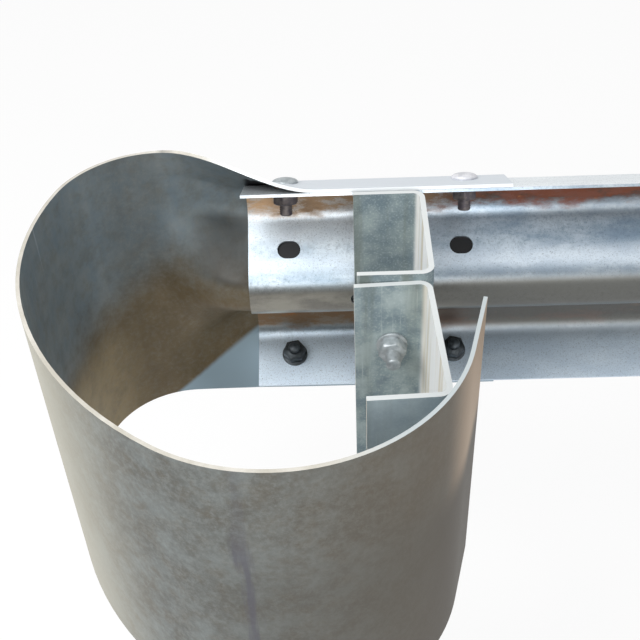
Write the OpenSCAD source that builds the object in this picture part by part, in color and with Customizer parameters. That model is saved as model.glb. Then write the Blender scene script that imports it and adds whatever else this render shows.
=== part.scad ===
// W-beam guardrail: the curled end terminal of a road barrier and the first whole bays after it.
// X runs along the barrier away from the terminal, +Y is the traffic side and Z is up.
// The origin lies at ground level, on the web of the first post.

/* [Barrier] */
// Spacing of the posts along the barrier
bay = 1905; // [1200:5:2500]
// Number of whole bays, with one post more than that
bays = 2; // [1:1:4]
// Height of the rail's middle above the ground
rail_mid = 600; // [450:5:800]

/* [Rail section] */
// Height of the W section over its two edges
rail_h = 312; // [306:1:330]
// Depth of the W section, from its back plane to the front of its crests
rail_d = 83; // [78:0.5:86]
// Sheet thickness of the rail
rail_t = 3.5; // [2.5:0.1:5]
// Spacing of the two crests
crest_pitch = 194; // [190:1:200]
// Width of the flat at the bottom of the valley
valley_flat = 14; // [8:1:18]
// Radius of the bends, at the middle of the rail's sheet
bend_r = 26; // [22:0.5:27]
// Slope of the inner webs from the upright
web_angle = 55; // [53:0.5:58]
// Slope of the outer flanges from the upright
flange_angle = 66; // [60:0.5:67]

/* [Splice] */
// Spacing of the two columns of splice slots
splice_pitch = 216; // [150:1:260]
// Distance from a rail's end to the first column of slots
splice_edge = 51; // [35:1:70]
// Distance of the outer slot rows from the rail's edges, along the flange
flange_row = 48; // [40:1:54]
// Width of a splice slot, across the rail
slot_w = 23; // [18:0.5:26]
// Length of a splice slot, along the rail
slot_l = 29; // [26:0.5:36]
// Width of the valley slot for a post bolt
post_slot_w = 19; // [16:0.5:22]
// Length of the valley slot for a post bolt
post_slot_l = 64; // [40:1:80]
// Room left between the lapped sheets
lap_gap = 0.3; // [0.1:0.1:0.6]

/* [Terminal] */
// Sheet thickness of the terminal
term_t = 4; // [3:0.1:6]
// Height of the terminal's flat sheet
term_h = 390; // [330:1:440]
// Depth of the flat sheet's middle in front of the rail's back plane
term_set = 46; // [30:1:55]
// Length over which the edges open out to those of the flat sheet
flare_l = 179; // [120:1:300]
// Length over which the webs and crests fade to the flat sheet, from the rail's end on
fade_l = 130; // [80:1:200]
// Distance from the flat sheet's edge at which the crease of a flange has faded away
fade_edge = 30; // [20:1:45]
// Radii of the curl's four arcs, from the flare to the free edge
curl_r = [117, 306, 377, 188]; // [60:1:400]
// Turn of each of the four arcs, in degrees
curl_turn = [72, 40, 35, 108]; // [20:1:110]
// Straight run after the last arc, up to the free edge
curl_tail = 77; // [20:1:160]
// Room between the curl's last arc and the corner of the first post
post_room = 13; // [8:1:60]

/* [Post] */
// Depth of the post's web, across the barrier
post_web = 172; // [120:1:220]
// Width of the legs of the post and the block, web included
leg = 82; // [65:1:110]
// Distance of the bolt line in the legs from the middle of the post's web
bolt_gauge = 42; // [34:1:48]
// Plate thickness of the post
post_t = 6; // [4:0.5:9]
// Inside radius of the post's bends
post_r = 8; // [4:0.5:12]
// Height of the post's top above the middle of the rail
post_rise = 152; // [120:1:220]
// Turn of the first post about the upright, as it stands out of square with its block
post_turn = 2.5; // [0:0.1:4]

/* [Spacer block] */
// Depth of the block's web, across the barrier
block_web = 155; // [110:1:200]
// Height of the block
block_h = 322; // [250:1:400]
// Plate thickness of the block
block_t = 6; // [4:0.5:9]
// Inside radius of the block's bends
block_r = 8; // [4:0.5:12]
// Spacing of the two bolts between the block and the post
block_bolt_pitch = 140; // [90:1:200]
// Diameter of the bolt holes in the legs
hole_d = 18; // [16:0.5:24]
// Shift of the rail's slots from the bolt line of the posts, towards the terminal
slot_shift = 10; // [0:1:20]

/* [Hidden] */
$fn = 64;
bend_steps = 6;
flare_steps = 16;
curl_step = 3;
eps = 0.01;
cut = 30;

post_nodes = [for (k = [1:bays + 1]) str("post_", k)];
block_nodes = [for (k = [1:bays + 1]) str("spacer_block_", k)];

// Places along X: the bolt line of the first post, the middle of its splice, the ends of the rail
bolt_x = -bolt_gauge;
splice_x = bolt_x - slot_shift;
end_run = splice_pitch / 2 + splice_edge;
rail_l = bays * bay + 2 * end_run;

// Places along Y: the face where block and post meet, and the back plane of the rail
post_front = post_web / 2;
rail_back = post_front + block_web;

// Runs of the W section between its bends, measured at the middle of the sheet
web_run = (rail_d - rail_t - 2 * bend_r * (1 - cos(web_angle))) / sin(web_angle);
crest_flat = crest_pitch - valley_flat - 4 * bend_r * sin(web_angle) - 2 * web_run * cos(web_angle);
edge_h = rail_h - rail_t * sin(flange_angle);
flange_rise = (edge_h - crest_pitch - crest_flat) / 2 - bend_r * sin(flange_angle);
flange_run = flange_rise / cos(flange_angle);

// Upper edge of the rail, at the middle of its sheet
w_edge = [
    rail_d - rail_t / 2 - bend_r * (1 - cos(flange_angle)) - flange_run * sin(flange_angle),
    edge_h / 2
];

// Headings are measured from the upright towards the traffic
function along(h) = [sin(h), cos(h)];
function across(h) = [cos(h), -sin(h)];
function last(list) = list[len(list) - 1];
function backwards(list) = [for (i = [len(list) - 1:-1:0]) list[i]];
function mix(a, b, share) = (1 - share) * a + share * b;
function arc_run(r, a) = r * a * PI / 180;
function radius(l, a) = l / a * 180 / PI;

// Points of a bend that starts at p with heading h and turns by a over the length l, each with its
// own heading
function bend(p, h, a, l) =
    [for (j = [1:bend_steps])
        let (g = h + a * j / bend_steps)
        [abs(a) < eps ? p + l * j / bend_steps * along(h) : p + radius(l, a) * (across(h) - across(g)), g]];

// Points of a section from p on: each move is a straight run and the turn and length of its bend
function walk(moves, p, h = 0, i = 0) =
    i == len(moves) ? [] :
    let (
        corner = p + moves[i][0] * along(h),
        bent = len(moves[i]) > 1,
        path = concat([[corner, h]], bent ? bend(corner, h, moves[i][1], moves[i][2]) : [])
    )
    concat(path, walk(moves, last(path)[0], last(path)[1], i + 1));

// Half of the section from the middle of the valley to the upper edge, for a sheet whose middle is
// d in front of the rail's. Its webs and crests are a share flat of the way to the flat sheet, and
// its edge a share open. The flange is the tangent from the edge to the bend at its crease.
function half_section(d, flat, open) =
    let (
        turn = web_angle * (1 - flat),
        r = bend_r + d,
        inner = walk([
            [valley_flat / 2, turn, arc_run(bend_r - d, web_angle)],
            [web_run, -turn, arc_run(r, web_angle)]
        ], [mix(rail_t / 2 + d, term_set, flat), 0]),
        crest = last(inner)[0],
        crease = mix((crest_pitch + crest_flat) / 2, term_h / 2 - fade_edge, flat),
        edge = mix(w_edge + d * across(-flange_angle), [term_set, term_h / 2], open),
        to_edge = [edge[0] - (crest[0] - r), edge[1] - crease],
        far = max(norm(to_edge), r + eps),
        fold = atan2(to_edge[1], to_edge[0]) - acos(r / far)
    )
    concat(inner, walk([
        [crease - crest[1], -fold, arc_run(r, fold)],
        [sqrt(far * far - r * r)]
    ], crest));

// The whole section from the lower edge to the upper one
function section(d, flat, open) =
    let (upper = half_section(d, flat, open))
    concat([for (q = backwards(upper)) [[q[0][0], -q[0][1]], -q[1]]], upper);

function shifted(points, d) = [for (q = points) q[0] + d * across(q[1])];

rail_half = half_section(0, 0, 0);
rail_section = section(0, 0, 0);

// Middles of the slot rows on the upper half, each as a point and a heading
web_row = [rail_half[bend_steps][0] + web_run / 2 * along(web_angle), web_angle];
flange_row_place = [
    last(rail_half)[0] - flange_row * along(-flange_angle),
    -flange_angle
];

// Left of a heading that is turned from the X axis, in plan
function left(h) = [-sin(h), cos(h)];

// Start of one of the curl's arcs, as a point and a heading, for a curl that starts at X = 0
function arc_start(i) =
    i == 0 ? [[0, rail_back + term_set], 180] :
    let (s = arc_start(i - 1), h = s[1] + curl_turn[i - 1])
    [s[0] + curl_r[i - 1] * (left(s[1]) - left(h)), h];

// How far a post turned about its web's middle falls short of its block, at the crown of its bend
post_corner = post_r + post_t;
corner_in = post_front - post_corner;
function post_short(turn) =
    corner_in - corner_in * cos(turn) + (post_corner - post_t / 2) * sin(turn);

// Middle of the bend at the first post's rear corner, which the last arc of the curl clears
rear_corner = [0, post_short(post_turn)] + corner_in * [sin(post_turn), -cos(post_turn)]
    - (post_corner - post_t / 2) * [cos(post_turn), sin(post_turn)];
last_arc = arc_start(len(curl_r) - 1);
last_centre = last_arc[0] + last(curl_r) * left(last_arc[1]);
corner_reach = last(curl_r) - term_t / 2 - post_room - post_corner;
corner_drop = rear_corner[1] - last_centre[1];

// Terminal: where its curl and its flare start, its sheet's middle in front of the rail's, and the
// distances from the start of the flare at which the W section starts to fade and ends
curl_x = rear_corner[0] - sqrt(max(corner_reach ^ 2 - corner_drop ^ 2, 0)) - last_centre[0];
flare_x = curl_x + flare_l;
term_mid = (rail_t + term_t) / 2 + lap_gap;
fade_start = flare_x - splice_x + end_run;
bent_end = max(flare_l, fade_start + fade_l);

// A cutter with round ends, long along the rail and square to a sheet of heading h at p
module slot_cutter(x, p, h, w, l) {
    translate([x, rail_back + p[0], rail_mid + p[1]]) rotate([-90 - h, 0, 0]) {
        for (side = [-1, 1])
            translate([side * (l - w) / 2, 0, -cut / 2]) cylinder(h = cut, d = w);
        translate([-(l - w) / 2, -w / 2, -cut / 2]) cube([l - w, w, cut]);
    }
}

// Slots of one row on both halves of the section, at the two columns of a splice
module slot_row(middle_x, row) {
    for (column = [-1, 1], half = [-1, 1])
        slot_cutter(middle_x + column * splice_pitch / 2, [row[0][0], half * row[0][1]],
            half * row[1], slot_w, slot_l);
}

module post_slot(x) {
    slot_cutter(x, [rail_t / 2, 0], 0, post_slot_w, post_slot_l);
}

// Pressed rail, with splice slots at both ends and a slot in the valley at each post
module rail_panel() {
    color("lightsteelblue") difference() {
        translate([splice_x - end_run, rail_back, rail_mid]) rotate([90, 0, 90])
            linear_extrude(rail_l)
            polygon(concat(shifted(rail_section, -rail_t / 2), backwards(shifted(rail_section, rail_t / 2))));
        for (x = [splice_x, splice_x + bays * bay]) {
            slot_row(x, web_row);
            slot_row(x, flange_row_place);
        }
        for (k = [0:bays]) post_slot(splice_x + k * bay);
    }
}

// Rise from 0 to 1, eased at both ends
function ease(s) =
    let (t = min(max(s, 0), 1))
    t * t * (3 - 2 * t);

// Stations of the terminal in plan, each a point, a heading turned from the X axis and the distance
// from the start of the flare: a straight lap and flare, then arcs that each turn left from the end
// of the one before
function curl_walk(p, h, d, i = 0) =
    i == len(curl_r) ? [[p + curl_tail * [cos(h), sin(h)], h, d + curl_tail]] :
    let (
        steps = ceil(curl_turn[i] / curl_step),
        arc = [for (j = [1:steps])
            let (turn = curl_turn[i] * j / steps)
            [p + curl_r[i] * (left(h) - left(h + turn)), h + turn, d + arc_run(curl_r[i], turn)]],
        stop = last(arc)
    )
    concat(arc, curl_walk(stop[0], stop[1], stop[2], i + 1));

function lap_station(d) = [[flare_x - d, rail_back + term_set], 180, d];

lap_l = flare_x - splice_x - end_run;
flare_stations = [for (k = [0:flare_steps]) lap_station(flare_l * k / flare_steps)];
stations = concat([lap_station(lap_l)], flare_stations, curl_walk(last(flare_stations)[0], 180, flare_l));

// One face of the sheet at a station where it is bent across, offset by off from its middle
function bent_face(s, off) =
    [for (p = shifted(section(term_mid, ease((s[2] - fade_start) / fade_l), ease(s[2] / flare_l)), off))
        [each s[0] + (term_set - p[0]) * left(s[1]), rail_mid + p[1]]];

function bent_ring(s) = concat(bent_face(s, -term_t / 2), backwards(bent_face(s, term_t / 2)));

// Four corners of the flat sheet at a station, in the order of a bent ring's own edges
function flat_ring(s) =
    let (
        back = s[0] + term_t / 2 * left(s[1]),
        front = s[0] - term_t / 2 * left(s[1]),
        low = rail_mid - term_h / 2,
        high = rail_mid + term_h / 2
    )
    [[each back, low], [each back, high], [each front, high], [each front, low]];

// Faces round a tube of rings of n points each, from the point numbered base
function tube_faces(base, n, count) =
    [for (k = [0:count - 2], i = [0:n - 1])
        let (a = base + k * n + i, b = base + k * n + (i + 1) % n)
        each [[a, b, b + n], [a, b + n, a + n]]];

// The terminal's sheet: bent rings along its lap and flare, then flat ones round its curl
module terminal_sheet() {
    bent = [for (s = stations) if (s[2] < bent_end) bent_ring(s)];
    flat = [for (s = stations) if (s[2] >= bent_end) flat_ring(s)];
    n = len(bent[0]);
    half = n / 2;
    b = (len(bent) - 1) * n;
    c = b + n;
    end = c + 4 * (len(flat) - 1);
    lap_end = [for (i = [0:half - 2])
        each [[i, n - 1 - i, n - 2 - i], [i, n - 2 - i, i + 1]]];
    back_joint = concat([for (i = [0:half - 2]) [b + i, b + i + 1, c]], [[b + half - 1, c + 1, c]]);
    front_joint = concat([for (i = [half:n - 2]) [b + i, b + i + 1, c + 2]], [[b + n - 1, c + 3, c + 2]]);
    edge_joints = [
        [b + half - 1, b + half, c + 2], [b + half - 1, c + 2, c + 1],
        [b + n - 1, b, c], [b + n - 1, c, c + 3]
    ];
    free_end = [[end + 3, end + 2, end + 1], [end + 3, end + 1, end]];
    polyhedron(
        points = [for (r = concat(bent, flat)) each r],
        faces = concat(lap_end, tube_faces(0, n, len(bent)), back_joint, front_joint, edge_joints,
            tube_faces(c, 4, len(flat)), free_end)
    );
}

// End terminal: a W-shaped lap bolted over the front of the rail's end, which opens out to a flat
// sheet and curls back round the first post
module end_terminal() {
    color("slategray") difference() {
        terminal_sheet();
        slot_row(splice_x, flange_row_place);
        post_slot(splice_x);
    }
}

// Outline of a bent channel, its web to the right and its legs to the left
module channel(depth, t, r) {
    difference() {
        bent_block(leg, depth, r + t);
        translate([-t, 0]) bent_block(leg, depth - 2 * t, r);
    }
}

// Rectangle left of the Y axis, with round corners on the axis
module bent_block(w, depth, r) {
    translate([-w, -depth / 2]) square([w - r, depth]);
    translate([-w, -depth / 2 + r]) square([w, depth - 2 * r]);
    for (side = [-1, 1]) translate([-r, side * (depth / 2 - r)]) circle(r);
}

// Bolt hole through a leg whose outer face lies at y
module leg_hole(x, y, z) {
    translate([x, y, z]) rotate([90, 0, 0]) cylinder(h = cut, d = hole_d, center = true);
}

module block_holes(x) {
    for (side = [-1, 1]) leg_hole(x, post_front, rail_mid + side * block_bolt_pitch / 2);
}

// Channel post, driven in the ground with its open side towards the terminal
module post(k) {
    x = k * bay;
    turn = k == 0 ? post_turn : 0;
    color("darkseagreen") difference() {
        translate([x, post_short(turn), 0]) rotate(turn) translate([post_t / 2, 0, 0])
            linear_extrude(rail_mid + post_rise) channel(post_web, post_t, post_r);
        block_holes(x + bolt_x);
    }
}

// Short channel that holds the rail off the post
module spacer_block(k) {
    x = k * bay;
    color("lightslategray") difference() {
        translate([x + post_t / 2, post_front + block_web / 2, rail_mid - block_h / 2])
            linear_extrude(block_h) channel(block_web, block_t, block_r);
        block_holes(x + bolt_x);
        leg_hole(x + bolt_x, rail_back, rail_mid);
    }
}

end_terminal();
rail_panel();
for (k = [0:bays]) post(k);
for (k = [0:bays]) spacer_block(k);
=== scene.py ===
import math

import bmesh
import bpy
from mathutils import Matrix, Vector
from mathutils.bvhtree import BVHTree


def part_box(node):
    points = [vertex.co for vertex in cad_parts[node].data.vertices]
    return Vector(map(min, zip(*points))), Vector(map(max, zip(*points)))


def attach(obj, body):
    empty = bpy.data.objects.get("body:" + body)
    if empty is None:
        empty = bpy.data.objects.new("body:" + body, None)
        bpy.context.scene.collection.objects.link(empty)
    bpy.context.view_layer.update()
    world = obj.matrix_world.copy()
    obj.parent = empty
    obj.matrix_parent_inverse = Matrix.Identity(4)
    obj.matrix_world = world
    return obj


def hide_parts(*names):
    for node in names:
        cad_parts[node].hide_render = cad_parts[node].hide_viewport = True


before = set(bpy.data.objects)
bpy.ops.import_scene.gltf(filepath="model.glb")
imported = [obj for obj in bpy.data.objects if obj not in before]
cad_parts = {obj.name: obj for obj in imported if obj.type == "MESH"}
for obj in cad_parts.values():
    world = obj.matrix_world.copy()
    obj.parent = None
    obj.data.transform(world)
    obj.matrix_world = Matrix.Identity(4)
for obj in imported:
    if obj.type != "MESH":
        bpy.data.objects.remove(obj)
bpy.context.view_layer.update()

# Posts
# Cold-bent channels of 6 mm steel plate, hot-dip galvanised after bending and driven into the ground
# with the open side towards the terminal. The zinc has dulled to grey and runs pale down the webs, and the
# inside of the web and the back leg carry painted light.
MM = 0.001
SHEET_EDGE = math.radians(60)
CAD_WELD = 0.02 * MM
BACK_LEG_IN, BACK_LEG_OUT = -70 * MM, -82 * MM
SCRATCH_LEAN = math.radians(38)


def linear(hex_colour):
    """Linear RGBA of an sRGB colour such as "8a9499"."""
    channels = [int(hex_colour[i:i + 2], 16) / 255 for i in (0, 2, 4)]
    return [c / 12.92 if c <= 0.04045 else ((c + 0.055) / 1.055) ** 2.4 for c in channels] + [1]


def per(size_mm):
    """Scale of a pattern whose features are size_mm across."""
    return 1 / (size_mm * MM)


def add(tree, kind, *inputs, **settings):
    """Adds a node with its settings. Inputs follow the order of its sockets, or are named in a dict,
    and a node or socket given as an input is linked to it."""
    node = tree.nodes.new(kind)
    for key, value in settings.items():
        setattr(node, key, value)
    named = inputs[0] if inputs and isinstance(inputs[0], dict) else {}
    sockets = [node.inputs[key] for key in named] or [s for s in node.inputs if s.enabled]
    for socket, value in zip(sockets, named.values() if named else inputs):
        if isinstance(value, bpy.types.Node):
            value = next(s for s in value.outputs if s.enabled)
        if isinstance(value, bpy.types.NodeSocket):
            tree.links.new(value, socket)
        elif value is not None:
            socket.default_value = value
    return node


GEOMETRY = "ShaderNodeNewGeometry"
MAPPING = "ShaderNodeMapping"
NOISE = "ShaderNodeTexNoise"
RAMP = "ShaderNodeMapRange"
MIX = "ShaderNodeMix"
MATH = "ShaderNodeMath"
SPLIT = "ShaderNodeSeparateXYZ"
SMOOTH = {"interpolation_type": "SMOOTHSTEP"}
COLOUR = {"data_type": "RGBA"}
TIMES = {"operation": "MULTIPLY"}


def new_material(name):
    """An empty node material with its tree and shader, and the place on the surface."""
    material = bpy.data.materials.new(name)
    material.use_nodes = True
    tree = material.node_tree
    place = add(tree, "ShaderNodeTexCoord").outputs["Object"]
    return material, tree, tree.nodes["Principled BSDF"], place


def smooth_bends(work, sharpest):
    """Smooth faces, with a crisp edge wherever two of them meet at the sharpest angle or more."""
    for face in work.faces:
        face.smooth = True
    for edge in work.edges:
        edge.smooth = edge.is_manifold and edge.calc_face_angle(0) < sharpest


def pressed_piece(node, material):
    """The node's own solid with its loose triangles welded and its bends smooth, in a real finish."""
    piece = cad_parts[node].copy()
    piece.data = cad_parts[node].data.copy()
    piece.name = piece.data.name = node + "_finish"
    bpy.context.scene.collection.objects.link(piece)
    work = bmesh.new()
    work.from_mesh(piece.data)
    bmesh.ops.remove_doubles(work, verts=work.verts, dist=CAD_WELD)
    smooth_bends(work, SHEET_EDGE)
    work.to_mesh(piece.data)
    work.free()
    piece.data.materials.clear()
    piece.data.materials.append(material)
    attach(piece, "root")
    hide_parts(node)


def add_finish(tree, shader, body, metallic, roughness, relief, strength):
    """Joins a body colour and its relief to the shader, which takes its roughness as a number or a node."""
    tree.links.new(next(s for s in body.outputs if s.enabled), shader.inputs["Base Color"])
    shader.inputs["Metallic"].default_value = metallic
    if isinstance(roughness, bpy.types.Node):
        tree.links.new(roughness.outputs[0], shader.inputs["Roughness"])
    else:
        shader.inputs["Roughness"].default_value = roughness
    bump = add(tree, "ShaderNodeBump", {"Height": relief, "Strength": strength, "Distance": MM})
    tree.links.new(bump.outputs[0], shader.inputs["Normal"])


def galvanised_plate(name, dark, light):
    """Dull hot-dip zinc on plate: matt grey, with drips and scratches on the legs and pale runs down the
    inside of the web, with painted light on the web's inside and on the back leg. Its grain is drawn coarser
    than the real one, so that it shows."""
    material, tree, shader, place = new_material(name)
    facing = add(tree, SPLIT, add(tree, GEOMETRY).outputs["Normal"]).outputs
    upright = add(tree, MAPPING, {"Vector": place, "Scale": (1, 1, 0.06)})
    clouds = add(tree, NOISE, place, per(40), 5, 0.6)
    fine = add(tree, NOISE, place, per(2.5), 3)
    runs = add(tree, NOISE, upright, per(24), 5)
    # Cloudy grey with a light grain, dark drips and light scratches
    cloudy = add(tree, RAMP, clouds, 0.35, 0.66, **SMOOTH)
    grey = add(tree, MIX, cloudy, linear(dark), linear(light), **COLOUR)
    grain = add(tree, RAMP, fine, 0.5, 0.72, 0, 0.3, **SMOOTH)
    grey = add(tree, MIX, grain, grey, linear("c6d0d0"), **COLOUR)
    drips = add(tree, RAMP, runs, 0.48, 0.68, 0, 0.6, **SMOOTH)
    grey = add(tree, MIX, drips, grey, linear("6c7368"), **COLOUR)
    slope = add(tree, MAPPING, {"Vector": place, "Rotation": (0, SCRATCH_LEAN, 0), "Scale": (1, 1, 0.04)})
    scratches = add(tree, RAMP, add(tree, NOISE, slope, per(5), 2), 0.66, 0.7, 0, 0.4)
    grey = add(tree, MIX, scratches, grey, linear("c9d2d3"), **COLOUR)
    # Painted light: the back leg is painted pale blue as the sky would light it, and the inside of the web is
    # painted creamy white as light from the left would, with pale runs down it. The cut top is pale
    depth = add(tree, SPLIT, place).outputs["Y"]
    # Painted light on the back leg
    back = add(tree, RAMP, depth, BACK_LEG_IN, BACK_LEG_OUT, 0, 0.5, **SMOOTH)
    grey = add(tree, MIX, back, grey, linear("cfe2ec"), **COLOUR)
    run_down = add(tree, RAMP, runs, 0.45, 0.68, **SMOOTH)
    cream = add(tree, MIX, run_down, linear("f3f5f5"), linear("d9d2c0"), **COLOUR)
    # Painted light: faces that look to the left, the inside of the web, are painted creamy white
    web = add(tree, RAMP, facing["X"], -0.25, -0.95, **SMOOTH)
    body = add(tree, MIX, web, grey, cream, **COLOUR)
    cut_edge = add(tree, RAMP, facing["Z"], 0.6, 0.9, **SMOOTH)
    body = add(tree, MIX, cut_edge, body, linear("cfd3d3"), **COLOUR)
    add_finish(tree, shader, body, 0.25, 0.62, fine, 0.12)
    return material


# The posts' copy is painted lighter than the blocks', as painted light against the shade under the blocks
post_zinc_painted_light = galvanised_plate("galvanised_post_plate_painted_light", "7f9097", "b0bdbd")
post_names = [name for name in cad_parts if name.startswith("post_")]
for name in post_names:
    pressed_piece(name, post_zinc_painted_light)

# Spacer blocks
# Short lengths of like channel that hold the rail off the posts, cut from the same plate and
# galvanised with it. Each stands a little above its post.
# Darker than the posts' copy of the same zinc; the difference is painted light on the posts
block_zinc = galvanised_plate("galvanised_block_plate", "6b7c84", "94a2a3")
block_names = [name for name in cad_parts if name.startswith("spacer_block_")]
for name in block_names:
    pressed_piece(name, block_zinc)

# Rail
# One W section rolled from 3.5 mm sheet and dipped whole, so the zinc is bright and finely spangled
# on its slopes. Water lies in the bends, and there the sheet has gone to brown and orange rust.
rail_low, rail_high = (Vector(corner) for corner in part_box("rail_panel"))
RAIL_BACK = rail_low.y
RAIL_MID = (rail_low.z + rail_high.z) / 2
RAIL_END = rail_low.x
RUST_WANDER = 14 * MM


def spangled_sheet():
    """Bright hot-dip zinc on sheet: blue-white spangle, dirt speckles, and rust where water lies, with
    painted highlights, light and shade in places. The speckles are drawn coarser than real ones, so that they
    show. Heights are from the rail's middle."""
    material, tree, shader, place = new_material("spangled_galvanised_sheet")
    spot = add(tree, SPLIT, place).outputs
    facing = add(tree, SPLIT, add(tree, GEOMETRY).outputs["Normal"]).outputs
    height = add(tree, MATH, spot["Z"], RAIL_MID, operation="SUBTRACT")
    inner = add(tree, RAMP, facing["Y"], 0.1, -0.1, **SMOOTH)
    far = add(tree, RAMP, spot["X"], -100 * MM, 100 * MM, **SMOOTH)
    near = add(tree, MATH, 1, far, operation="SUBTRACT")
    drawn = add(tree, MAPPING, {"Vector": place, "Scale": (0.4, 1, 1)})
    clouds = add(tree, NOISE, drawn, per(38), 7, 0.65)
    spangle = add(tree, NOISE, place, per(6), 4, 0.7)
    speckle = add(tree, NOISE, place, per(1.9), 4, 0.8)
    # Clean zinc: clouds drawn along the rail under a spangle, tarnished past the first post
    cloudy = add(tree, RAMP, clouds, 0.32, 0.66, **SMOOTH)
    zinc = add(tree, MIX, cloudy, linear("98abbb"), linear("d3dee5"), **COLOUR)
    spangled = add(tree, RAMP, spangle, 0.45, 0.7, 0, 0.6, **SMOOTH)
    zinc = add(tree, MIX, spangled, zinc, linear("8494a1"), **COLOUR)
    tarnish = add(tree, MATH, add(tree, RAMP, clouds, 0.32, 0.66, 0.58, 0.3, **SMOOTH), far, **TIMES)
    zinc = add(tree, MIX, add(tree, MATH, tarnish, inner, **TIMES), zinc, linear("778b9f"), **COLOUR)
    # A painted highlight along the bend over the middle ridge, painted light on the upper web near the
    # splice, and painted shade on the upper web at the rail's end, against a reflection there
    # Painted highlight along the bend over the middle ridge
    highlight_foot = add(tree, RAMP, height, 26 * MM, 38 * MM, **SMOOTH)
    highlight_top = add(tree, RAMP, height, 54 * MM, 40 * MM, 0, 0.45, **SMOOTH)
    zinc = add(tree, MIX, add(tree, MATH, highlight_foot, highlight_top, **TIMES), zinc, linear("eef7ff"), **COLOUR)
    # Painted light on the upper web near the splice, against the shade under the crest
    bright_foot = add(tree, RAMP, height, 45 * MM, 62 * MM, 0, 0.48, **SMOOTH)
    bright = add(tree, MATH, add(tree, MATH, bright_foot, near, **TIMES), inner, **TIMES)
    zinc = add(tree, MIX, bright, zinc, linear("fafdff"), **COLOUR)
    # Painted shade at the rail's end, against a reflection there
    painted_end_shade = add(tree, RAMP, spot["X"], RAIL_END + 10 * MM, RAIL_END + 75 * MM, 0.3, 0, **SMOOTH)
    painted_end_shade = add(tree, MATH, painted_end_shade, add(tree, RAMP, height, 20 * MM, 30 * MM, **SMOOTH), **TIMES)
    zinc = add(tree, MIX, add(tree, MATH, painted_end_shade, inner, **TIMES), zinc, linear("93a3b0"), **COLOUR)
    # Painted sky light: the lower flange, and the outside of the upper one, are painted paler as the sky
    # would light them
    shelf = add(tree, RAMP, height, -116 * MM, -126 * MM, 0, 0.8, **SMOOTH)
    shelf = add(tree, MATH, shelf, add(tree, RAMP, far, 0, 1, 1, 0.68), **TIMES)
    zinc = add(tree, MIX, shelf, zinc, linear("e0f0ff"), **COLOUR)
    # Painted sky light on the outside of the upper flange
    crown = add(tree, RAMP, height, 115 * MM, 130 * MM, 0, 0.7, **SMOOTH)
    crown = add(tree, MATH, crown, inner, operation="SUBTRACT")
    zinc = add(tree, MIX, crown, zinc, linear("f2f5f6"), **COLOUR)
    # An upper web darker farther along, dirt speckles all over, and a middle and lower web dulled by dirt and
    # by painted shade
    darker_web_foot = add(tree, RAMP, height, 62 * MM, 76 * MM, 0, 0.55, **SMOOTH)
    farther = add(tree, RAMP, spot["X"], 60 * MM, 220 * MM, **SMOOTH)
    darker_upper_web = add(tree, MATH, add(tree, MATH, darker_web_foot, farther, **TIMES), inner, **TIMES)
    zinc = add(tree, MIX, darker_upper_web, zinc, linear("6c6f70"), **COLOUR)
    dirty = add(tree, RAMP, speckle, 0.52, 0.68, 0, 0.65, **SMOOTH)
    zinc = add(tree, MIX, dirty, zinc, linear("66717a"), **COLOUR)
    mottled = add(tree, RAMP, clouds, 0.4, 0.62, **SMOOTH)
    dull_and_shade = add(tree, MIX, mottled, linear("948f82"), linear("6e685d"), **COLOUR)
    dull_and_shade = add(tree, MIX, add(tree, MATH, far, 0.85, **TIMES), dull_and_shade, linear("4a4841"), **COLOUR)
    # On the far side the dull band reaches over the bends, as painted shade on their highlights
    top = add(tree, MATH, height, add(tree, MATH, far, 9 * MM, **TIMES), operation="SUBTRACT")
    valley_top = add(tree, RAMP, top, 28 * MM, 8 * MM, 0, 0.9, **SMOOTH)
    bottom = add(tree, MATH, height, add(tree, MATH, far, 12 * MM, **TIMES), operation="ADD")
    valley_foot = add(tree, RAMP, bottom, -122 * MM, -100 * MM, **SMOOTH)
    valley = add(tree, MATH, add(tree, MATH, valley_top, valley_foot, **TIMES), inner, **TIMES)
    zinc = add(tree, MIX, valley, zinc, dull_and_shade, **COLOUR)
    # Wet places: the gutter behind the upper crest and the seam behind the lower one, ragged at the edges
    patches = add(tree, NOISE, drawn, per(45), 8, 0.7)
    wander = add(tree, RAMP, patches, 0.3, 0.7, -RUST_WANDER, RUST_WANDER)
    ragged = add(tree, MATH, height, wander, operation="ADD")
    lip = add(tree, MATH, ragged, add(tree, MATH, far, 5 * MM, **TIMES), operation="SUBTRACT")
    gutter = add(tree, RAMP, lip, 72 * MM, 90 * MM, **SMOOTH)
    gutter = add(tree, MATH, gutter, add(tree, RAMP, height, 140 * MM, 128 * MM, **SMOOTH), **TIMES)
    seam_top = add(tree, RAMP, ragged, -70 * MM, -84 * MM, **SMOOTH)
    seam_foot = add(tree, RAMP, ragged, -116 * MM, -102 * MM, **SMOOTH)
    seam = add(tree, MATH, seam_top, seam_foot, **TIMES)
    seam = add(tree, MATH, seam, add(tree, RAMP, far, 0, 1, 1, 0.15), **TIMES)
    wet = add(tree, MATH, add(tree, MATH, gutter, seam, operation="ADD"), inner, **TIMES)
    stains = add(tree, NOISE, drawn, per(14), 8, 0.75)
    spread = add(tree, RAMP, stains, 0.4, 0.52, 0.5, 0.95, **SMOOTH)
    spread = add(tree, MATH, spread, add(tree, MATH, far, 0.9, **TIMES), operation="MAXIMUM")
    rusted = add(tree, MATH, wet, spread, **TIMES)
    # Rust: pale and patchy near the rail's end, old and reddened farther along, fresh orange in spots, and
    # darker in the lower seam as painted shade
    old = add(tree, MATH, add(tree, RAMP, patches, 0.45, 0.65, 0, 0.5, **SMOOTH), far, operation="MAXIMUM")
    old_rust_and_seam_shade = add(tree, RAMP, spot["X"], RAIL_END + 40 * MM, RAIL_END + 80 * MM, 0, 0.32, **SMOOTH)
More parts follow.
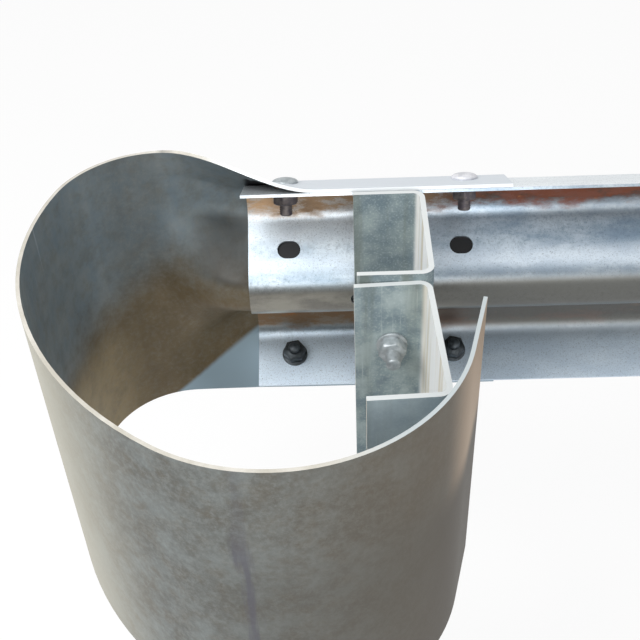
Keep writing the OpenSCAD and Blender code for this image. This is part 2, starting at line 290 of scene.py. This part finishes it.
    # The rust below the middle is darkened as painted shade
    old_rust_and_seam_shade = add(tree, MATH, old_rust_and_seam_shade, add(tree, RAMP, height, 0, -40 * MM, 0, 0.6), operation="MAXIMUM")
    old = add(tree, MATH, old, old_rust_and_seam_shade, operation="MAXIMUM")
    rust = add(tree, MIX, old, linear("dcb992"), linear("5c4536"), **COLOUR)
    reddened = add(tree, MATH, add(tree, RAMP, patches, 0.47, 0.58, 0, 0.75, **SMOOTH), far, **TIMES)
    rust = add(tree, MIX, reddened, rust, linear("935339"), **COLOUR)
    fresh = add(tree, RAMP, stains, 0.58, 0.68, 0, 0.6, **SMOOTH)
    rust = add(tree, MIX, fresh, rust, linear("c98547"), **COLOUR)
    body = add(tree, MIX, rusted, zinc, rust, **COLOUR)
    roughness = add(tree, RAMP, {"Value": rusted, "To Min": 0.36, "To Max": 0.85})
    add_finish(tree, shader, body, 0.6, roughness, speckle, 0.08)
    return material


pressed_piece("rail_panel", spangled_sheet())

# End terminal
# A 4 mm sheet pressed to the rail's section where it laps the rail, flared flat and rolled back round
# the first post. Its zinc has weathered to grey with brown and olive stains, and its cut edges are pale.
CURL_MIDDLE = (-195 * MM, 40 * MM, 0)
RAIL_SIDE_FROM, RAIL_SIDE_TO = 150 * MM, 220 * MM
# Distances to the left of the first post
DRIP_LEAST, DRIP_MOST = 178 * MM, 196 * MM
BAND_LEFT = 345 * MM
SCORE_LEAN = math.radians(62)
CREASE_SLOPE = 0.71
EDGE_RISE = 154 * MM


def weathered_sheet():
    """Old hot-dip zinc: blue-grey and olive stains in upright streaks, scratches and pale cut edges, with
    painted light and shade in places. Heights are from the rail's middle, and X grows from the curl towards
    the rail."""
    material, tree, shader, place = new_material("weathered_galvanised_sheet")
    normal = add(tree, GEOMETRY).outputs["Normal"]
    spot = add(tree, SPLIT, place).outputs
    facing = add(tree, SPLIT, normal).outputs
    height = add(tree, MATH, spot["Z"], RAIL_MID, operation="SUBTRACT")
    outwards = add(tree, "ShaderNodeVectorMath", place, CURL_MIDDLE, operation="SUBTRACT")
    level = add(tree, "ShaderNodeVectorMath", outwards, (1, 1, 0), operation="MULTIPLY")
    outside = add(tree, "ShaderNodeVectorMath", level, normal, operation="DOT_PRODUCT").outputs["Value"]
    inside = add(tree, RAMP, outside, 0.004, -0.004, **SMOOTH)
    rail_side = add(tree, RAMP, spot["Y"], RAIL_SIDE_FROM, RAIL_SIDE_TO, **SMOOTH)
    near_side = add(tree, MATH, 1, rail_side, operation="SUBTRACT")
    upright = add(tree, MAPPING, {"Vector": place, "Scale": (1, 1, 0.08)})
    clouds = add(tree, NOISE, place, per(70), 8, 0.68)
    streaks = add(tree, NOISE, upright, per(12), 5, 0.6)
    spangle = add(tree, NOISE, place, per(7), 8, 0.8)
    blotches = add(tree, NOISE, place, per(22), 6, 0.7)
    cloudy = add(tree, RAMP, clouds, 0.36, 0.64, **SMOOTH)
    # Outside: cloudy grey with earthy blotches and a light grain
    out_grey = add(tree, MIX, cloudy, linear("575854"), linear("6f7574"), **COLOUR)
    earthy = add(tree, RAMP, blotches, 0.42, 0.7, 0, 0.5, **SMOOTH)
    out_grey = add(tree, MIX, earthy, out_grey, linear("5b5345"), **COLOUR)
    grain = add(tree, RAMP, spangle, 0.4, 0.66, 0, 0.38, **SMOOTH)
    out_grey = add(tree, MIX, grain, out_grey, linear("8b9190"), **COLOUR)
    # Browner and darker towards the free edge, as brown stain and painted shade, darker lower down, and
    # painted light round the left of the curl
    # Brown stain and painted shade towards the free edge
    brown = add(tree, RAMP, spot["X"], -240 * MM, 20 * MM, 0, 0.8, **SMOOTH)
    brown = add(tree, MATH, brown, near_side, **TIMES)
    out_grey = add(tree, MIX, brown, out_grey, linear("584e3f"), **COLOUR)
    deep = add(tree, RAMP, height, 150 * MM, 10 * MM, 0, 0.4, **SMOOTH)
    deep = add(tree, MATH, deep, add(tree, RAMP, spot["X"], -270 * MM, -180 * MM, **SMOOTH), **TIMES)
    deep = add(tree, MATH, deep, near_side, **TIMES)
    out_grey = add(tree, MIX, deep, out_grey, linear("45433d"), **COLOUR)
    # Painted light round the left of the curl
    left = add(tree, RAMP, spot["X"], -270 * MM, -420 * MM, 0, 0.75, **SMOOTH)
    out_grey = add(tree, MIX, left, out_grey, linear("bfbbab"), **COLOUR)
    # By the free edge it is tan above and darkened by painted shade below, and farther left a dark drip runs
    # down
    tan = add(tree, RAMP, spot["X"], -5 * MM, 30 * MM, 0, 0.8, **SMOOTH)
    tan = add(tree, MATH, tan, add(tree, RAMP, height, 20 * MM, 75 * MM, **SMOOTH), **TIMES)
    tan = add(tree, MATH, tan, near_side, **TIMES)
    out_grey = add(tree, MIX, tan, out_grey, linear("b59d84"), **COLOUR)
    # Painted shade low by the free edge
    painted_shade_low = add(tree, RAMP, spot["X"], -35 * MM, 15 * MM, **SMOOTH)
    painted_shade_low = add(tree, MATH, painted_shade_low, add(tree, RAMP, height, 75 * MM, 20 * MM, 0, 0.6, **SMOOTH), **TIMES)
    painted_shade_low = add(tree, MATH, painted_shade_low, near_side, **TIMES)
    out_grey = add(tree, MIX, painted_shade_low, out_grey, linear("40382d"), **COLOUR)
    wander = add(tree, RAMP, streaks, 0.3, 0.7, DRIP_LEAST, DRIP_MOST)
    aside = add(tree, MATH, add(tree, MATH, spot["X"], wander, operation="ADD"), operation="ABSOLUTE")
    drip = add(tree, RAMP, aside, 11 * MM, 3 * MM, 0, 0.65, **SMOOTH)
    drip = add(tree, MATH, drip, add(tree, RAMP, height, 130 * MM, 70 * MM, 0.3, 1, **SMOOTH), **TIMES)
    drip = add(tree, MATH, drip, near_side, **TIMES)
    out_grey = add(tree, MIX, drip, out_grey, linear("4b4a55"), **COLOUR)
    # The lap over the rail is cleaner, and palest on its upper flange
    lapped = add(tree, RAMP, spot["X"], RAIL_END - 60 * MM, RAIL_END, **SMOOTH)
    lapped = add(tree, MATH, lapped, rail_side, **TIMES)
    lap_grey = add(tree, MIX, grain, linear("8c979c"), linear("aab4b9"), **COLOUR)
    out_grey = add(tree, MIX, lapped, out_grey, lap_grey, **COLOUR)
    flange = add(tree, MATH, lapped, add(tree, RAMP, height, 90 * MM, 110 * MM, **SMOOTH), **TIMES)
    out_grey = add(tree, MIX, flange, out_grey, linear("d3d9df"), **COLOUR)
    # Inside: streaked blue-grey above and olive below a wandering tide line, with silt low on the left
    streaked = add(tree, RAMP, streaks, 0.3, 0.7, 0.25, 0.75, **SMOOTH)
    streaked = add(tree, MATH, add(tree, MATH, streaked, cloudy, operation="ADD"), 0.5, **TIMES)
    in_grey = add(tree, MIX, streaked, linear("667782"), linear("838a8a"), **COLOUR)
    in_olive = add(tree, MIX, streaked, linear("61533a"), linear("73654c"), **COLOUR)
    sunk = add(tree, RAMP, spot["X"], -330 * MM, -425 * MM, 0, 60 * MM)
    drift = add(tree, RAMP, clouds, 0.3, 0.7, -30 * MM, 30 * MM)
    tide = add(tree, MATH, add(tree, MATH, height, sunk, operation="ADD"), drift, operation="ADD")
    stained = add(tree, RAMP, tide, 80 * MM, -10 * MM, **SMOOTH)
    in_grey = add(tree, MIX, stained, in_grey, in_olive, **COLOUR)
    silty = add(tree, RAMP, spot["X"], -350 * MM, -420 * MM, **SMOOTH)
    silty = add(tree, MATH, silty, add(tree, RAMP, height, -25 * MM, -85 * MM, 0, 0.7, **SMOOTH), **TIMES)
    in_grey = add(tree, MIX, silty, in_grey, linear("a3926f"), **COLOUR)
    # A dark band down the curl, then grain, earth, painted shade on what faces up, and scratches high on the
    # left
    off_band = add(tree, MATH, add(tree, MATH, spot["X"], BAND_LEFT, operation="ADD"), operation="ABSOLUTE")
    band = add(tree, RAMP, off_band, 50 * MM, 12 * MM, 0, 0.38, **SMOOTH)
    band = add(tree, MATH, band, add(tree, RAMP, height, -30 * MM, 40 * MM, **SMOOTH), **TIMES)
    in_grey = add(tree, MIX, band, in_grey, linear("3a3f40"), **COLOUR)
    in_grain = add(tree, RAMP, spangle, 0.42, 0.72, 0, 0.3, **SMOOTH)
    in_grey = add(tree, MIX, in_grain, in_grey, linear("8b8d88"), **COLOUR)
    in_earthy = add(tree, RAMP, blotches, 0.4, 0.72, 0, 0.35, **SMOOTH)
    in_grey = add(tree, MIX, in_earthy, in_grey, linear("59503f"), **COLOUR)
    # Painted shade on the inside faces that look up
    painted_shade_up = add(tree, RAMP, facing["Z"], 0.15, 0.65, 0, 0.9, **SMOOTH)
    painted_shade_up = add(tree, MATH, painted_shade_up, add(tree, RAMP, height, -90 * MM, -40 * MM, **SMOOTH), **TIMES)
    in_grey = add(tree, MIX, painted_shade_up, in_grey, linear("7b7874"), blend_type="MULTIPLY", **COLOUR)
    slope = add(tree, MAPPING, {"Vector": place, "Rotation": (0, SCORE_LEAN, 0), "Scale": (1, 1, 0.03)})
    scored = add(tree, RAMP, add(tree, NOISE, slope, per(9), 2), 0.68, 0.72, 0, 0.4)
    scored = add(tree, MATH, scored, add(tree, RAMP, spot["X"], -330 * MM, -360 * MM, **SMOOTH), **TIMES)
    scored = add(tree, MATH, scored, add(tree, RAMP, height, 110 * MM, 140 * MM, **SMOOTH), **TIMES)
    in_grey = add(tree, MIX, scored, in_grey, linear("b4bcc0"), **COLOUR)
    # Below the crease that slopes across the flare, the up-facing flange is painted blue-white as light
    crease = add(tree, MATH, height, add(tree, MATH, spot["X"], CREASE_SLOPE, **TIMES), operation="SUBTRACT")
    lit = add(tree, MATH, add(tree, RAMP, crease, 43 * MM, 34 * MM, **SMOOTH), rail_side, **TIMES)
    in_grey = add(tree, MIX, lit, in_grey, linear("94a9b6"), **COLOUR)
    body = add(tree, MIX, inside, out_grey, in_grey, **COLOUR)
    # Where it lies on the rail, seen only through the rail's slots, it is painted near-black as shade
    past_end = add(tree, RAMP, spot["X"], RAIL_END - 2 * MM, RAIL_END + 6 * MM, **SMOOTH)
    past_end = add(tree, MATH, past_end, rail_side, **TIMES)
    from_middle = add(tree, MATH, height, operation="ABSOLUTE")
    off_edge = add(tree, RAMP, from_middle, EDGE_RISE, EDGE_RISE - 4 * MM)
    covered = add(tree, MATH, add(tree, MATH, past_end, off_edge, **TIMES), inside, **TIMES)
    body = add(tree, MIX, covered, body, linear("0c0d10"), **COLOUR)
    # Pale cut edges, cleanest on the lap and greyer on the curl's tail
    cut_edge = add(tree, RAMP, facing["Z"], 0.94, 0.98, **SMOOTH)
    flare_edge = add(tree, RAMP, facing["Z"], 0.15, 0.35, **SMOOTH)
    flare_edge = add(tree, MATH, flare_edge, add(tree, RAMP, facing["Y"], -0.1, -0.4), **TIMES)
    on_edge = add(tree, RAMP, height, EDGE_RISE - 6 * MM, EDGE_RISE)
    flare_edge = add(tree, MATH, flare_edge, on_edge, **TIMES)
    cut_edge = add(tree, MATH, cut_edge, flare_edge, operation="MAXIMUM")
    edge_tone = add(tree, MIX, cloudy, linear("b7b3a8"), linear("cfccc4"), **COLOUR)
    edge_tone = add(tree, MIX, lapped, edge_tone, linear("dde1e3"), **COLOUR)
    tail = add(tree, RAMP, spot["X"], -120 * MM, -30 * MM, **SMOOTH)
    tail = add(tree, MATH, tail, near_side, **TIMES)
    edge_tone = add(tree, MIX, tail, edge_tone, linear("b6bec0"), **COLOUR)
    body = add(tree, MIX, cut_edge, body, edge_tone, **COLOUR)
    add_finish(tree, shader, body, 0.35, 0.55, spangle, 0.12)
    return material


pressed_piece("end_terminal", weathered_sheet())

# Bolts
# Button-head bolts of 16 mm with hex nuts and flat washers, hot-dipped: four at the splice, two from each
# block to its post, and one through the rail at each post, on a plate washer bent to the rail. The lower
# splice bolts hang low in their slots. They and the nuts of the rail bolts are blackened.
BOLT_R = 8 * MM
HEAD_R, HEAD_RISE, HEAD_RIM, HEAD_CHAMFER = 15.5 * MM, 7 * MM, 2 * MM, 0.5 * MM
DOME_ANGLES = [math.radians(angle) for angle in range(0, 81, 10)]
NUT_FLATS, NUT_H, NUT_CHAMFER = 27 * MM, 14 * MM, 1.6 * MM
NUT_FOOT_R, NUT_TOP_R = NUT_FLATS / 2 * 0.98, NUT_FLATS / 2 * 0.96
HALF_FLAT = math.pi / 6
WASHER_R, WASHER_H, WASHER_CHAMFER = 17 * MM, 3 * MM, 0.4 * MM
THREAD_PITCH, THREAD_DEPTH = 2.5 * MM, 0.9 * MM
THREAD_SUNK, THREAD_TIP = 1 * MM, 1 * MM
LONG_END, SPLICE_END, SHORT_END = 18 * MM, 14 * MM, 9 * MM
ROUND, NUT_ROUND, THREAD_ROUND = 32, 48, 24
SHARP_EDGE = math.radians(32)


def lathe(work, outline, sides=ROUND, flats=None):
    """Turns an outline of (radius, height) about Z. Where flats is set, radii end on a hexagon."""
    rings = []
    for radius, height in outline:
        ring = []
        for k in range(sides):
            turn = 2 * math.pi * k / sides
            reach = radius
            if flats:
                off_flat = (turn + HALF_FLAT) % (2 * HALF_FLAT) - HALF_FLAT
                reach = min(radius, flats / 2 / math.cos(off_flat))
            ring.append(work.verts.new((reach * math.cos(turn), reach * math.sin(turn), height)))
        rings.append(ring)
    for low, high in zip(rings, rings[1:]):
        for k in range(sides):
            work.faces.new((low[k], low[(k + 1) % sides], high[(k + 1) % sides], high[k]))
    work.faces.new(rings[-1])
    work.faces.new(list(reversed(rings[0])))


def finished_mesh(name, work):
    """The mesh of a worked shape, with its edges crisp."""
    smooth_bends(work, SHARP_EDGE)
    mesh = bpy.data.meshes.new(name)
    work.to_mesh(mesh)
    work.free()
    return mesh


def template(name, build, *sizes):
    """A hidden shape that stands on its seat, for the bolt tree to repeat."""
    work = bmesh.new()
    build(work, *sizes)
    return bpy.data.objects.new(name, finished_mesh(name, work))


def button_head(work):
    """A round head with a low dome."""
    dome = [(HEAD_R * math.cos(a), HEAD_RIM + (HEAD_RISE - HEAD_RIM) * math.sin(a)) for a in DOME_ANGLES]
    lathe(work, [(HEAD_R - HEAD_CHAMFER, 0), (HEAD_R, HEAD_CHAMFER)] + dome)


def nut_and_end(work, stick_out):
    """A washer, a nut on it and the threaded end of the bolt, which stands stick_out past the nut."""
    rim = WASHER_H - WASHER_CHAMFER
    lathe(work, [(WASHER_R, 0), (WASHER_R, rim), (WASHER_R - WASHER_CHAMFER, WASHER_H)])
    top = WASHER_H + NUT_H
    corner = NUT_FLATS / 2 / math.cos(HALF_FLAT)
    sides = [(corner, WASHER_H + NUT_CHAMFER), (corner, top - NUT_CHAMFER)]
    lathe(work, [(NUT_FOOT_R, WASHER_H)] + sides + [(NUT_TOP_R, top)], sides=NUT_ROUND, flats=NUT_FLATS)
    tip = top + stick_out
    thread = [(BOLT_R, top - THREAD_SUNK)]
    for k in range(int(stick_out / THREAD_PITCH)):
        foot = top + k * THREAD_PITCH
        thread += [(BOLT_R - THREAD_DEPTH, foot), (BOLT_R, foot + THREAD_PITCH / 2)]
    thread += [(BOLT_R - THREAD_DEPTH, tip - THREAD_TIP), (BOLT_R - 2 * THREAD_DEPTH, tip)]
    lathe(work, thread, sides=THREAD_ROUND)


def bolt_tree():
    """Repeats one template on every seat, stood along the seat's axis and spun by chance."""
    tree = bpy.data.node_groups.new("bolts_on_seats", "GeometryNodeTree")
    face = tree.interface
    face.new_socket("Geometry", in_out="INPUT", socket_type="NodeSocketGeometry")
    face.new_socket("Template", in_out="INPUT", socket_type="NodeSocketObject")
    face.new_socket("Finish", in_out="INPUT", socket_type="NodeSocketMaterial")
    face.new_socket("Seed", in_out="INPUT", socket_type="NodeSocketInt")
    face.new_socket("Geometry", in_out="OUTPUT", socket_type="NodeSocketGeometry")
    given = add(tree, "NodeGroupInput").outputs
    axis = add(tree, "GeometryNodeInputNamedAttribute", "axis", data_type="FLOAT_VECTOR")
    spin = add(tree, "FunctionNodeRandomValue", {"Seed": given["Seed"]}, data_type="FLOAT")
    angle = add(tree, MATH, spin.outputs[1], 2 * math.pi, **TIMES)
    spun = add(tree, "FunctionNodeAxisAngleToRotation", {"Axis": (0, 0, 1), "Angle": angle.outputs[0]})
    stood = add(tree, "FunctionNodeAlignRotationToVector", {
        "Rotation": spun.outputs[0], "Vector": axis.outputs[0]}, axis="Z")
    shape = add(tree, "GeometryNodeObjectInfo", {"Object": given["Template"]})
    repeated = add(tree, "GeometryNodeInstanceOnPoints", {
        "Points": given["Geometry"], "Instance": shape.outputs["Geometry"], "Rotation": stood.outputs[0]})
    real = add(tree, "GeometryNodeRealizeInstances", {"Geometry": repeated.outputs[0]})
    painted = add(tree, "GeometryNodeSetMaterial", {"Geometry": real.outputs[0], "Material": given["Finish"]})
    tree.links.new(painted.outputs[0], add(tree, "NodeGroupOutput").inputs[0])
    return tree


BOLTS_ON_SEATS = bolt_tree()


def fixed_piece(name, mesh):
    """A mesh as a piece of the barrier, on its one body."""
    piece = bpy.data.objects.new(name, mesh)
    bpy.context.scene.collection.objects.link(piece)
    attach(piece, "root")


def fastened(name, shape, seats, finish, seed):
    """One plain mesh of a template repeated on seats, each a place and an axis to stand along."""
    mesh = bpy.data.meshes.new(name + "_seats")
    mesh.from_pydata([place for place, axis in seats], [], [])
    axes = mesh.attributes.new("axis", "FLOAT_VECTOR", "POINT")
    for entry, (place, axis) in zip(axes.data, seats):
        entry.vector = axis
    holder = bpy.data.objects.new(name + "_seats", mesh)
    bpy.context.scene.collection.objects.link(holder)
    nodes = holder.modifiers.new("bolts", "NODES")
    nodes.node_group = BOLTS_ON_SEATS
    values = {"Template": shape, "Finish": finish, "Seed": seed}
    for socket in BOLTS_ON_SEATS.interface.items_tree:
        if socket.name in values:
            nodes[socket.identifier] = values[socket.name]
    solid = bpy.data.meshes.new_from_object(holder.evaluated_get(bpy.context.evaluated_depsgraph_get()))
    bpy.data.objects.remove(holder)
    solid.name = name
    fixed_piece(name, solid)


def bolt_steel(name, light, dark, metallic, roughness):
    """Hot-dipped bolt steel: a thick uneven coat, cloudy between a lighter and a darker grey."""
    material, tree, shader, place = new_material(name)
    coat = add(tree, NOISE, place, per(9), 5, 0.6)
    share = add(tree, RAMP, coat, 0.35, 0.65, **SMOOTH)
    body = add(tree, MIX, share, linear(dark), linear(light), **COLOUR)
    add_finish(tree, shader, body, metallic, roughness, coat, 0.06)
    return material


dipped_bolt = bolt_steel("dipped_bolt_steel", "b2b8bb", "939a9d", 0.5, 0.45)
worn_bolt = bolt_steel("weathered_bolt_steel", "77706c", "565056", 0.5, 0.55)
pale_bolt = bolt_steel("pale_bolt_steel", "dcdce0", "c4c5ca", 0.4, 0.5)
black_bolt = bolt_steel("blackened_bolt_steel", "4a5156", "2b3034", 0.5, 0.45)


def struck(node, start, way):
    """Where a line from start first meets a node's solid."""
    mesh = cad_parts[node].data
    solid = BVHTree.FromPolygons([v.co for v in mesh.vertices], [p.vertices for p in mesh.polygons])
    return solid.ray_cast(Vector(start), Vector(way))[0]


# A plate washer takes the valley's shape from just past the end of the slot, and sits a little off centre
PLATE_L, PLATE_W, PLATE_T = 76 * MM, 44 * MM, 4 * MM
PLATE_STEPS = 16
PAST_SLOT = 42 * MM
PLATE_PLAY = -6 * MM
BEFORE_RAIL = RAIL_BACK + 200 * MM
TO_TRAFFIC = Vector((0, 1, 0))


def rail_washer(name, x, front):
    """A plate bent to the rail's valley, which covers the slot under a bolt head. Gives its seat's Y."""
    heights = [PLATE_W * (k / PLATE_STEPS - 0.5) for k in range(PLATE_STEPS + 1)]
    starts = [(x + PAST_SLOT, BEFORE_RAIL, RAIL_MID + z) for z in heights]
    ground = [struck(front, start, -TO_TRAFFIC).y for start in starts]
    outline = list(zip(ground, heights)) + [(y + PLATE_T, z) for y, z in zip(ground[::-1], heights[::-1])]
    work = bmesh.new()
    ends = []
    for side in (-1, 1):
        end_x = x + PLATE_PLAY + side * PLATE_L / 2
        ends.append([work.verts.new((end_x, y, RAIL_MID + z)) for y, z in outline])
    work.faces.new(ends[0])
    work.faces.new(ends[1][::-1])
    for k in range(len(outline)):
        work.faces.new((ends[0][k - 1], ends[1][k - 1], ends[1][k], ends[0][k]))
    bmesh.ops.recalc_face_normals(work, faces=work.faces)
    mesh = finished_mesh(name, work)
    mesh.materials.append(dipped_bolt)
    fixed_piece(name, mesh)
    return ground[PLATE_STEPS // 2] + PLATE_T


# Splice seats: a line beside each outer slot finds the lapped sheets, and the seat lies back in the slot
SPLICE_EDGE, SPLICE_PITCH = 51 * MM, 216 * MM
COLUMNS = [RAIL_END + SPLICE_EDGE, RAIL_END + SPLICE_EDGE + SPLICE_PITCH]
FLANGE_ROW_Y, FLANGE_ROW_Z = RAIL_BACK + 50.4 * MM, 134.9 * MM
FLANGE_LEAN = math.radians(66)
FLANGE_OUT = Vector((0, math.cos(FLANGE_LEAN), math.sin(FLANGE_LEAN)))
BESIDE_SLOT = Vector((15 * MM, 0, 0))
OVER_LAP, UNDER_LAP = 50 * MM, 30 * MM
SLACK_ALONG, SLACK_DOWN = -1.5 * MM, 3.5 * MM
head_seats, pale_head_seats, black_head_seats = [], [], []
nut_seats, worn_nut_seats, black_nut_seats = [], [], []
for x in COLUMNS:
    for half in (1, -1):
        out = Vector((0, FLANGE_OUT.y, half * FLANGE_OUT.z))
        beside = Vector((x, FLANGE_ROW_Y, RAIL_MID + half * FLANGE_ROW_Z)) + BESIDE_SLOT
        outer = struck("end_terminal", beside + OVER_LAP * out, -out) - BESIDE_SLOT
        inner = struck("rail_panel", beside - UNDER_LAP * out, out) - BESIDE_SLOT
        if half > 0:
            (head_seats if x == COLUMNS[0] else pale_head_seats).append((outer, out))
            worn_nut_seats.append((inner, -out))
        else:
            slack = Vector((SLACK_ALONG, -SLACK_DOWN * FLANGE_OUT.z, -SLACK_DOWN * FLANGE_OUT.y))
            black_head_seats.append((outer + slack, out))
            black_nut_seats.append((inner + slack, -out))

# Seats on the legs: a line from inside the channel, beside the hole, finds each leg's face
BOLT_LINE_X = -42 * MM
BLOCK_BOLT_RISE = 70 * MM
BESIDE_HOLE = 12 * MM
IN_POST_Y, IN_BLOCK_Y = 30 * MM, 150 * MM
for number, (post, block) in enumerate(zip(post_names, block_names), 1):
    x = BOLT_LINE_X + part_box(block)[1][0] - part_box(block_names[0])[1][0]
    beside = x - BESIDE_HOLE
    for side in (-1, 1):
        z = RAIL_MID + side * BLOCK_BOLT_RISE
        post_leg = struck(post, (beside, IN_POST_Y, z), TO_TRAFFIC)
        nut_seats.append((Vector((x, post_leg.y, z)), -TO_TRAFFIC))
        block_leg = struck(block, (beside, IN_BLOCK_Y, z), -TO_TRAFFIC)
        head_seats.append((Vector((x, block_leg.y, z)), TO_TRAFFIC))
    front_leg = struck(block, (beside, IN_BLOCK_Y, RAIL_MID), TO_TRAFFIC)
    black_nut_seats.append((Vector((x, front_leg.y, RAIL_MID)), -TO_TRAFFIC))
    front = "end_terminal" if number == 1 else "rail_panel"
    seat_y = rail_washer("rail_washer_%d" % number, x, front)
    head_seats.append((Vector((x, seat_y, RAIL_MID)), TO_TRAFFIC))

button = template("button_head", button_head)
long_nut = template("long_nut", nut_and_end, LONG_END)
short_nut = template("short_nut", nut_and_end, SHORT_END)
splice_nut = template("splice_nut", nut_and_end, SPLICE_END)
fastened("bolt_heads", button, head_seats, dipped_bolt, seed=3)
fastened("far_splice_head", button, pale_head_seats, pale_bolt, seed=4)
fastened("lower_bolt_heads", button, black_head_seats, black_bolt, seed=5)
fastened("nuts", long_nut, nut_seats, dipped_bolt, seed=7)
fastened("upper_splice_nuts", splice_nut, worn_nut_seats, worn_bolt, seed=9)
fastened("lower_splice_nuts", short_nut, black_nut_seats, black_bolt, seed=11)

# Studio
# A pale floor at ground level and a white surround, with a soft key lamp from the upper left and a weaker
# fill lamp from behind the camera.
FLOOR_SIZE = 28.0
FLOOR_GLOW = 0.88
FLOOR_NEAR = 3.0
SKY_LIGHT = 0.55
LAMP_TARGET = (-0.1, 0.2, 0.6)
KEY_PLACE, KEY_SIZE, KEY_WATTS = (-1.4, -0.7, 2.7), 1.4, 58
FILL_PLACE, FILL_SIZE, FILL_WATTS = (0.2, -2.2, 1.8), 1.6, 28
scene = bpy.context.scene
scene.view_settings.view_transform = "Standard"


def white_to_eye(tree):
    """1 for rays from the camera, in reflections and through glass, and 0 for light that falls."""
    ray = add(tree, "ShaderNodeLightPath").outputs
    seen = add(tree, MATH, ray["Is Camera Ray"], ray["Is Glossy Ray"], operation="MAXIMUM")
    return add(tree, MATH, seen, ray["Is Transmission Ray"], operation="MAXIMUM")


bpy.ops.mesh.primitive_plane_add(size=FLOOR_SIZE)
floor = bpy.context.object
floor.name = "floor"
floor_paint, floor_tree, floor_shader, floor_place = new_material("pale_floor")
floor_shader.inputs["Base Color"].default_value = linear("fafafa")
floor_shader.inputs["Roughness"].default_value = 0.9
glow = add(floor_tree, "ShaderNodeEmission")
distance = add(floor_tree, "ShaderNodeVectorMath", floor_place, operation="LENGTH").outputs["Value"]
fade = add(floor_tree, RAMP, distance, FLOOR_NEAR, FLOOR_SIZE / 2, FLOOR_GLOW, 1, **SMOOTH)
glow_share = add(floor_tree, MATH, white_to_eye(floor_tree), fade, **TIMES)
floor_mix = add(floor_tree, "ShaderNodeMixShader", glow_share, floor_shader, glow)
floor_tree.links.new(floor_mix.outputs[0], floor_tree.nodes["Material Output"].inputs["Surface"])
floor.data.materials.append(floor_paint)

scene.world = bpy.data.worlds.new("white_surround")
scene.world.use_nodes = True
sky_tree = scene.world.node_tree
sky = sky_tree.nodes["Background"]
sky.inputs["Color"].default_value = linear("ffffff")
sky_level = add(sky_tree, RAMP, {"Value": white_to_eye(sky_tree), "To Min": SKY_LIGHT, "To Max": 1.0})
sky_tree.links.new(sky_level.outputs[0], sky.inputs["Strength"])


def soft_lamp(name, place, size, watts):
    """A square lamp that faces the splice."""
    lamp = bpy.data.lights.new(name, "AREA")
    lamp.size = size
    lamp.energy = watts
    holder = bpy.data.objects.new(name, lamp)
    holder.location = place
    holder.rotation_euler = (Vector(LAMP_TARGET) - Vector(place)).to_track_quat("-Z", "Y").to_euler()
    scene.collection.objects.link(holder)


soft_lamp("key_lamp", KEY_PLACE, KEY_SIZE, KEY_WATTS)
soft_lamp("fill_lamp", FILL_PLACE, FILL_SIZE, FILL_WATTS)

# Camera
# It looks down over the terminal's free edge, as the photograph was taken. Its place, turn and lens were
# fitted to the rail's section and slots.
CAMERA_PLACE = Vector((-0.0962, -0.7783, 1.4503))
YAW, PITCH, ROLL = (math.radians(a) for a in (-1.555, 40.909, 2.622))
SENSOR_MM, LENS_MM = 36, 59.426
NEAREST = 10 * MM
camera = bpy.data.objects.new("camera", bpy.data.cameras.new("camera"))
camera.data.sensor_width = SENSOR_MM
camera.data.lens = LENS_MM
camera.data.clip_start = NEAREST
ahead = Vector((math.sin(YAW) * math.cos(PITCH), math.cos(YAW) * math.cos(PITCH), -math.sin(PITCH)))
aside = Vector((math.cos(YAW), -math.sin(YAW), 0))
turned = Matrix((aside, aside.cross(ahead), -ahead)).transposed().to_4x4()
camera.matrix_world = Matrix.Translation(CAMERA_PLACE) @ turned @ Matrix.Rotation(-ROLL, 4, "Z")
scene.collection.objects.link(camera)
scene.camera = camera
